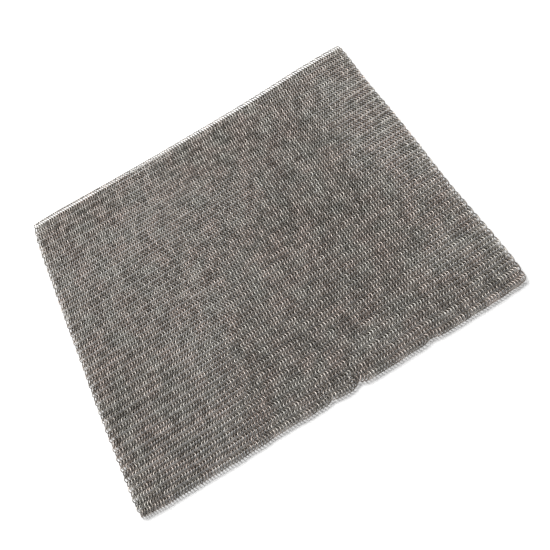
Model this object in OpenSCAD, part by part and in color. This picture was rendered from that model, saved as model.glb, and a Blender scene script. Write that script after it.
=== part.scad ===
// Flat panel of fine steel ring mesh, woven four in one: each ring is linked through two rings of the
// row before it and two rings of the row after it. The rings of a row all lean the same way, like
// fallen dominoes, and the next row leans the other way. Two such rows make one course, and the panel
// folds between its courses. A course is drawn here as one plain bar with round edges, as thick as
// the mesh, and the four corner rings are drawn as the real wire rings that the panel hangs by.
// X runs along the rows, Y across them and Z up. The origin is under the middle of the panel.

/* [Rings] */
// Outside diameter of a ring
ring_od = 4; // [3:0.1:6]
// Diameter of the wire
wire_d = 0.55; // [0.4:0.05:0.8]
// Lean of each ring from lying flat, in degrees
lean = 43; // [30:1:60]

/* [Weave] */
// Distance from one ring to the next along a row
ring_pitch = 1.53; // [1.2:0.01:2.6]
// Distance from one row to the next
row_pitch = 2.67; // [2.2:0.01:3.6]
// Rings in each row
rings_per_row = 134; // [20:1:200]
// Courses of two rows each
courses = 34; // [4:1:50]

/* [Clearances] */
// Fold limit between two courses, in degrees, which sets how far apart their bars stand
fold_limit = 60; // [10:5:80]
// Space left between two bars at their fold limit
fold_clearance = 0.2; // [0.1:0.05:0.5]
// Space between a corner ring and the bar around it
corner_clearance = 0.35; // [0.2:0.05:0.6]

/* [Hidden] */
$fn = 48;
thickness = (ring_od - wire_d) * sin(lean) + wire_d;
ring_width = (ring_od - wire_d) * cos(lean) + wire_d;
course_pitch = 2 * row_pitch;
row_stagger = ring_pitch / 2;
row_length = (rings_per_row - 1) * ring_pitch + row_stagger + ring_width;
middle_course = (courses + 1) / 2;
// Two round edges that turn about the line midway between them stay the fold clearance apart.
bar_gap = (thickness + fold_clearance) / cos(fold_limit / 2) - thickness;
// An edge row has no neighbour outside it, so its rings reach past the middle of the fold.
edge_reach = ring_od / 2 + row_pitch / 2;
edge_row_y = (courses * course_pitch - row_pitch) / 2;
end_ring_x = (rings_per_row - 1) / 2 * ring_pitch;

COURSE_NODES = [for (i = [1:courses]) course_name(i)];
CORNER_NODES = [
    "corner_ring_near_left",
    "corner_ring_near_right",
    "corner_ring_far_left",
    "corner_ring_far_right"
];

function course_name(i) = str("course_", i < 10 ? "0" : "", i);
function course_y(i) = (i - middle_course) * course_pitch;

// One course: a bar along X from y_low to y_high, flat on both faces and round along both edges.
module bar(y_low, y_high) {
    edge_r = thickness / 2;
    rotate([90, 0, 90])
        linear_extrude(row_length, center = true) {
            translate([y_low + edge_r, 0])
                square([y_high - y_low - thickness, thickness]);
            for (y = [y_low + edge_r, y_high - edge_r])
                translate([y, edge_r])
                    circle(edge_r);
        }
}

// Room at both ends of an edge row for its corner rings. Side is -1 at the near edge, 1 at the far one.
module corner_notches(side) {
    depth = ring_od + corner_clearance;
    length = ring_width + row_stagger + corner_clearance;
    for (end = [-1, 1])
        translate([end * row_length / 2, side * (edge_row_y + ring_od / 2), thickness / 2])
            cube([2 * length, 2 * depth, 2 * thickness], center = true);
}

module course(i) {
    half = (course_pitch - bar_gap) / 2;
    low = i == 1 ? edge_reach : half;
    high = i == courses ? edge_reach : half;
    color("#77716b")
        difference() {
            bar(course_y(i) - low, course_y(i) + high);
            if (i == 1) corner_notches(-1);
            if (i == courses) corner_notches(1);
        }
}

// One wire ring at an end of an edge row, leaning as the rest of its row does.
module corner_ring(end, side) {
    x = end * end_ring_x + side * row_stagger / 2;
    color("#8d8780")
        translate([x, side * edge_row_y, thickness / 2])
            rotate([0, side * lean, 0])
                rotate_extrude()
                    translate([(ring_od - wire_d) / 2, 0])
                        circle(wire_d / 2, $fn = 16);
}

for (i = [1:courses])
    course(i);
corner_ring(-1, -1);  // corner_ring_near_left
corner_ring(1, -1);  // corner_ring_near_right
corner_ring(-1, 1);  // corner_ring_far_left
corner_ring(1, 1);  // corner_ring_far_right
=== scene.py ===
import math
import random

import bmesh
import bpy
from mathutils import Matrix, Vector, noise


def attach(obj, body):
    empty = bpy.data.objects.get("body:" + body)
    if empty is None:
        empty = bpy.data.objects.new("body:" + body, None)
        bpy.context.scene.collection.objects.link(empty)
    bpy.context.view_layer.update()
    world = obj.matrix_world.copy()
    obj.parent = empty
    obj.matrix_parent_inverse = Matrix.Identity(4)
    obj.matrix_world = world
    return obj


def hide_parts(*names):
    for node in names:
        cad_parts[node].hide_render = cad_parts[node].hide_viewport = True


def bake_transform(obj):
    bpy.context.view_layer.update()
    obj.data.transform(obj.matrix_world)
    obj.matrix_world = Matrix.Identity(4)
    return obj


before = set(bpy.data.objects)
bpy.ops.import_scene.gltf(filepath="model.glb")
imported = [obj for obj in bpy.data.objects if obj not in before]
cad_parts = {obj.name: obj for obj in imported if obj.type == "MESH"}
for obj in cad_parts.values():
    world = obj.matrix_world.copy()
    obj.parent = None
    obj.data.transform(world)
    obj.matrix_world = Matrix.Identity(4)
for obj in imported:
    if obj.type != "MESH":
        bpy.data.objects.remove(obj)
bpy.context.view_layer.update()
MM = 0.001


# ---- Camera --------------------------------------------------------------------------------
# A hand-held camera looks down on the panel across its near edge, tilted to one side, so that
# the rows of rings climb to the right.

CAMERA_TARGET = Vector((4.9, -18.5, 1.5)) * MM
CAMERA_DISTANCE = 362.9 * MM
CAMERA_AZIMUTH = math.radians(0.95)
CAMERA_ELEVATION = math.radians(59.5)
CAMERA_ROLL = math.radians(-31.57)

turn = (
    Matrix.Rotation(CAMERA_AZIMUTH, 4, "Z")
    @ Matrix.Rotation(math.pi / 2 - CAMERA_ELEVATION, 4, "X")
    @ Matrix.Rotation(CAMERA_ROLL, 4, "Z")
)
camera = bpy.data.objects.new("camera", bpy.data.cameras.new("camera"))
camera.data.lens = 47.5
camera.data.sensor_width = 36
camera.data.clip_start = 0.01
camera.matrix_world = Matrix.Translation(CAMERA_TARGET + turn @ Vector((0, 0, CAMERA_DISTANCE))) @ turn
bpy.context.scene.collection.objects.link(camera)
bpy.context.scene.camera = camera


# ---- Table ---------------------------------------------------------------------------------
# The panel lies on a plain white table that fades into a white room.

def linear(hex_colour):
    """An sRGB colour such as "a0a0a0" as the linear RGBA that shaders take."""
    parts = [int(hex_colour[i:i + 2], 16) / 255 for i in (0, 2, 4)]
    return (*(c / 12.92 if c <= 0.04045 else ((c + 0.055) / 1.055) ** 2.4 for c in parts), 1)


def add_node(material, kind, settings=None, links=None):
    """A shader node of that kind, with settings for its properties or sockets, and links into it."""
    node = material.node_tree.nodes.new(kind)
    for name, value in (settings or {}).items():
        if hasattr(node, name):
            setattr(node, name, value)
        else:
            node.inputs[name].default_value = value
    for name, source in (links or {}).items():
        material.node_tree.links.new(source, node.inputs[name])
    return node


def new_material(name):
    """An empty node material, with its output node."""
    material = bpy.data.materials.new(name)
    material.use_nodes = True
    material.node_tree.nodes.clear()
    return material


# White laminate: flat, even and without shine.
laminate = new_material("white_laminate")
board = add_node(laminate, "ShaderNodeBsdfPrincipled", {
    "Base Color": linear("f4f4f4"),
    "Roughness": 0.9,
    "Specular IOR Level": 0.1,
})
add_node(laminate, "ShaderNodeOutputMaterial", links={"Surface": board.outputs["BSDF"]})

bm = bmesh.new()
bmesh.ops.create_grid(bm, x_segments=1, y_segments=1, size=3)
table_mesh = bpy.data.meshes.new("table")
bm.to_mesh(table_mesh)
bm.free()
table = bpy.data.objects.new("table", table_mesh)
table_mesh.materials.append(laminate)
bpy.context.scene.collection.objects.link(table)


# ---- One ring ------------------------------------------------------------------------------
# A ring is a short piece of stainless wire, closed and welded. The weld leaves a small bead.

RING_OD = 4.0 * MM
WIRE_D = 0.55 * MM
RING_STATIONS = 14
WIRE_SIDES = 5
BEAD = 1.12

ring_radius = (RING_OD - WIRE_D) / 2
bm = bmesh.new()
bmesh.ops.create_circle(
    bm,
    segments=WIRE_SIDES,
    radius=WIRE_D / 2,
    matrix=Matrix.Translation((ring_radius, 0, 0)) @ Matrix.Rotation(math.pi / 2, 4, "X"),
)
bmesh.ops.spin(
    bm,
    geom=bm.edges[:],
    axis=(0, 0, 1),
    angle=2 * math.pi,
    steps=RING_STATIONS,
    use_merge=True,
)
bead = [v for v in bm.verts if v.co.x > 0 and abs(v.co.y) < WIRE_D / 10]
bmesh.ops.scale(bm, vec=(BEAD, BEAD, BEAD), verts=bead, space=Matrix.Translation((-ring_radius, 0, 0)))
bmesh.ops.recalc_face_normals(bm, faces=bm.faces[:])
ring_mesh = bpy.data.meshes.new("ring")
bm.to_mesh(ring_mesh)
bm.free()
ring_verts = len(ring_mesh.vertices)


# ---- How the sheet lies --------------------------------------------------------------------
# The loose mesh never lies quite square. Its rows climb a little to the right, stand closer in the
# middle and wander by a fraction of a ring. Its corners are drawn in, its near edge is snagged in
# three places, and the two rows of a course pull closer to each other than to the next course.

RING_PITCH = 1.53 * MM
ROW_PITCH = 2.67 * MM
RINGS_PER_ROW = 134
ROWS = 68
LEAN = math.radians(43)
PAIRING = 0.04 * MM
# Where the near edge is snagged, how deep and how wide, in mm.
SNAGS = ((-1.5, 1.0, 2.0), (13.3, 1.8, 2.4), (51.3, 0.9, 3.0))
# Keeps the lowest tilted rings on the table, in mm.
REST_LIFT = 0.16

half_length = (RINGS_PER_ROW - 1) / 2 * RING_PITCH
half_width = (ROWS - 1) / 2 * ROW_PITCH
thickness = (RING_OD - WIRE_D) * math.sin(LEAN) + WIRE_D


def lie(x, y):
    """Where a ring that belongs at x, y in a square panel really lies, and how high, in metres."""
    across = x / half_length
    along = y / half_width
    # Shifts across the rows at the near edge, in the middle and at the far edge, in mm.
    left_part = max(0, -across)
    near = 0.2 + 2.1 * across
    middle = 0.9 * across - 1.8 * left_part
    far = -0.7 - 0.7 * across + 2.3 * across * across
    near_share = max(0, -0.3 - along) / 0.7
    far_share = (max(0, along + 0.4) / 1.4) ** 2
    dy = middle + (near - middle) * near_share + (far - middle) * far_share
    dy += (0.6 - 0.4 * along) * math.sin(math.pi * (along + 1))
    # Shifts along the rows at the left and right ends.
    left = -0.1 + 0.7 * math.sin(3.1 * along - 0.4) * (1 - along) / 2 + 0.9 * along ** 5
    right = -0.2 + 0.3 * math.sin(5 * along) + 2.0 * max(along, 0) ** 4
    dx = left + (right - left) * (across + 1) / 2
    # Wandering of the rows, and a finer unevenness at the near edge.
    place = Vector((x, y, 0)) * 22
    fray = Vector((x, y, 0)) * 110
    at_near = max(0, -along) ** 10
    dy += 0.55 * noise.noise(place) + 0.7 * at_near * noise.noise(fray)
    dx += 0.35 * noise.noise(place + Vector((5, 3, 8)))
    for snag_x, depth, width in SNAGS:
        dy += depth * at_near * math.exp(-((x / MM - snag_x) / width) ** 2)
    # The corners are drawn in, and the sheet rises here and there.
    corner = (across * along) ** 16
    dx -= 1.3 * corner * across
    dy -= 0.9 * corner * along
    lift = REST_LIFT + 0.5 * max(0, noise.noise(place * 0.9 + Vector((2, 9, 4))))
    return Vector((x + dx * MM, y + dy * MM, thickness / 2 + lift * MM))


def slump(x, y):
    """How far the rings of both rows sag to one side there, in radians."""
    place = Vector((x * 26, y * 15, 6))
    return math.radians(9) * noise.noise(place) - math.radians(10) * max(0, -x / half_length)


# ---- Rings laid in rows --------------------------------------------------------------------
# Every ring is linked through two rings of the row before it and two of the row after it. The
# rings of a row lean one way and those of the next row lean the other way.

# Stainless spring wire, drawn, tumbled and then worn by use: a grey metal with a soft shine. Every
# ring has its own wear, from dull and dark to freshly rubbed, and handling leaves browner and
# greener patches about 10 mm across.
PATCH_SIZE = 10 * MM
SCRATCH_SIZE = 0.3 * MM

wire_steel = new_material("worn_stainless_wire")
place = add_node(wire_steel, "ShaderNodeTexCoord")
wear = add_node(wire_steel, "ShaderNodeAttribute", {"attribute_name": "wear"})
rubbed = add_node(wire_steel, "ShaderNodeValToRGB", links={"Fac": wear.outputs["Fac"]})
rubbed.color_ramp.elements[0].color = linear("75716c")
rubbed.color_ramp.elements[1].color = linear("c9c5c1")
patches = add_node(wire_steel, "ShaderNodeTexNoise", {
    "Scale": 1 / PATCH_SIZE,
    "Detail": 2,
}, {"Vector": place.outputs["Object"]})
stain = add_node(wire_steel, "ShaderNodeValToRGB", links={"Fac": patches.outputs["Fac"]})
stain.color_ramp.elements[0].position = 0.32
stain.color_ramp.elements[0].color = linear("eff0ec")
stain.color_ramp.elements[1].position = 0.68
stain.color_ramp.elements[1].color = linear("f6ece7")
tone = add_node(wire_steel, "ShaderNodeMix", {"data_type": "RGBA", "blend_type": "MULTIPLY"})
tone.inputs[0].default_value = 1
wire_steel.node_tree.links.new(rubbed.outputs["Color"], tone.inputs[6])
wire_steel.node_tree.links.new(stain.outputs["Color"], tone.inputs[7])
scratches = add_node(wire_steel, "ShaderNodeTexNoise", {
    "Scale": 1 / SCRATCH_SIZE,
    "Detail": 2,
}, {"Vector": place.outputs["Object"]})
rough = add_node(wire_steel, "ShaderNodeMapRange", {
    "To Min": 0.4,
    "To Max": 0.58,
}, {"Value": scratches.outputs["Fac"]})
steel = add_node(wire_steel, "ShaderNodeBsdfPrincipled", {"Metallic": 1}, {
    "Base Color": tone.outputs[2],
    "Roughness": rough.outputs["Result"],
})
add_node(wire_steel, "ShaderNodeOutputMaterial", links={"Surface": steel.outputs["BSDF"]})

chance = random.Random(7)


def ring_place(row, column):
    """The matrix that puts a ring into its row, counted from 0 at the near left corner."""
    side = 1 if row % 2 else -1
    x = (column - (RINGS_PER_ROW - 1) / 2) * RING_PITCH + side * RING_PITCH / 4
    y = (row - (ROWS - 1) / 2) * ROW_PITCH - side * PAIRING
    centre = lie(x, y)
    step = lie(x + RING_PITCH, y) - centre
    centre.z += ring_radius * (math.sin(LEAN + abs(slump(x, y))) - math.sin(LEAN))
    heading = math.atan2(step.y, step.x)
    lean = side * (LEAN + math.radians(chance.gauss(0, 1.2))) + slump(x, y)
    nod = math.radians(chance.gauss(0, 1.5))
    swing = math.radians(chance.gauss(0, 1.2))
    spin = chance.uniform(0, 2 * math.pi)
    return (
        Matrix.Translation(centre)
        @ Matrix.Rotation(heading + swing, 4, "Z")
        @ Matrix.Rotation(lean, 4, "Y")
        @ Matrix.Rotation(nod, 4, "X")
        @ Matrix.Rotation(spin, 4, "Z")
    )


def lay_rings(name, places):
    """One piece made of a copy of the ring at each of those places."""
    bm = bmesh.new()
    wear_layer = bm.verts.layers.float.new("wear")
    for matrix in places:
        start = len(bm.verts)
        bm.from_mesh(ring_mesh)
        bm.verts.ensure_lookup_table()
        ring = bm.verts[start:]
        bmesh.ops.transform(bm, matrix=matrix, verts=ring)
        ring_wear = chance.random()
        for v in ring:
            v[wear_layer] = ring_wear
    for face in bm.faces:
        face.smooth = True
    mesh = bpy.data.meshes.new(name)
    bm.to_mesh(mesh)
    bm.free()
    mesh.materials.append(wire_steel)
    piece = bpy.data.objects.new(name, mesh)
    bpy.context.scene.collection.objects.link(piece)
    return piece


def course_name(number):
    return f"course_{number + 1:02d}"


for row in range(ROWS):
    at_edge = row in (0, ROWS - 1)
    columns = range(1, RINGS_PER_ROW - 1) if at_edge else range(RINGS_PER_ROW)
    piece = lay_rings(f"ring_row_{row + 1:02d}", [ring_place(row, c) for c in columns])
    course = row // 2
    if at_edge:
        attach(piece, course_name(course))
    else:
        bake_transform(piece)
    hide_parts(course_name(course))


# ---- Corner rings --------------------------------------------------------------------------
# The last ring at each corner is linked on one side only, so it swings freely, and a hook or a
# further ring can go through it.

for name, row, column in (
    ("near_left", 0, 0),
    ("near_right", 0, RINGS_PER_ROW - 1),
    ("far_left", ROWS - 1, 0),
    ("far_right", ROWS - 1, RINGS_PER_ROW - 1),
):
    piece = lay_rings(f"hanging_ring_{name}", [ring_place(row, column)])
    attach(piece, f"corner_ring_{name}")
    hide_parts(f"corner_ring_{name}")


# ---- Light ---------------------------------------------------------------------------------
# A large soft lamp stands behind the far edge, a little to the left, and the white room fills in.

def add_lamp(name, azimuth, elevation, distance, size, watts, colour):
    """A square soft lamp that shines on the panel's middle. Azimuth 0 is behind the far edge."""
    lamp = bpy.data.objects.new(name, bpy.data.lights.new(name, "AREA"))
    lamp.data.size = size
    lamp.data.energy = watts
    lamp.data.color = linear(colour)[:3]
    a, e = math.radians(azimuth), math.radians(elevation)
    lamp.location = Vector((math.sin(a) * math.cos(e), math.cos(a) * math.cos(e), math.sin(e))) * distance
    lamp.rotation_euler = lamp.location.to_track_quat("Z", "Y").to_euler()
    bpy.context.scene.collection.objects.link(lamp)


add_lamp("key_lamp", -20, 50, 2.5, 1.6, 98, "ffffff")

room = bpy.data.worlds.new("white_room")
room.use_nodes = True
room.node_tree.nodes["Background"].inputs["Color"].default_value = linear("ffffff")
room.node_tree.nodes["Background"].inputs["Strength"].default_value = 0.38
bpy.context.scene.world = room
bpy.context.scene.view_settings.view_transform = "Standard"
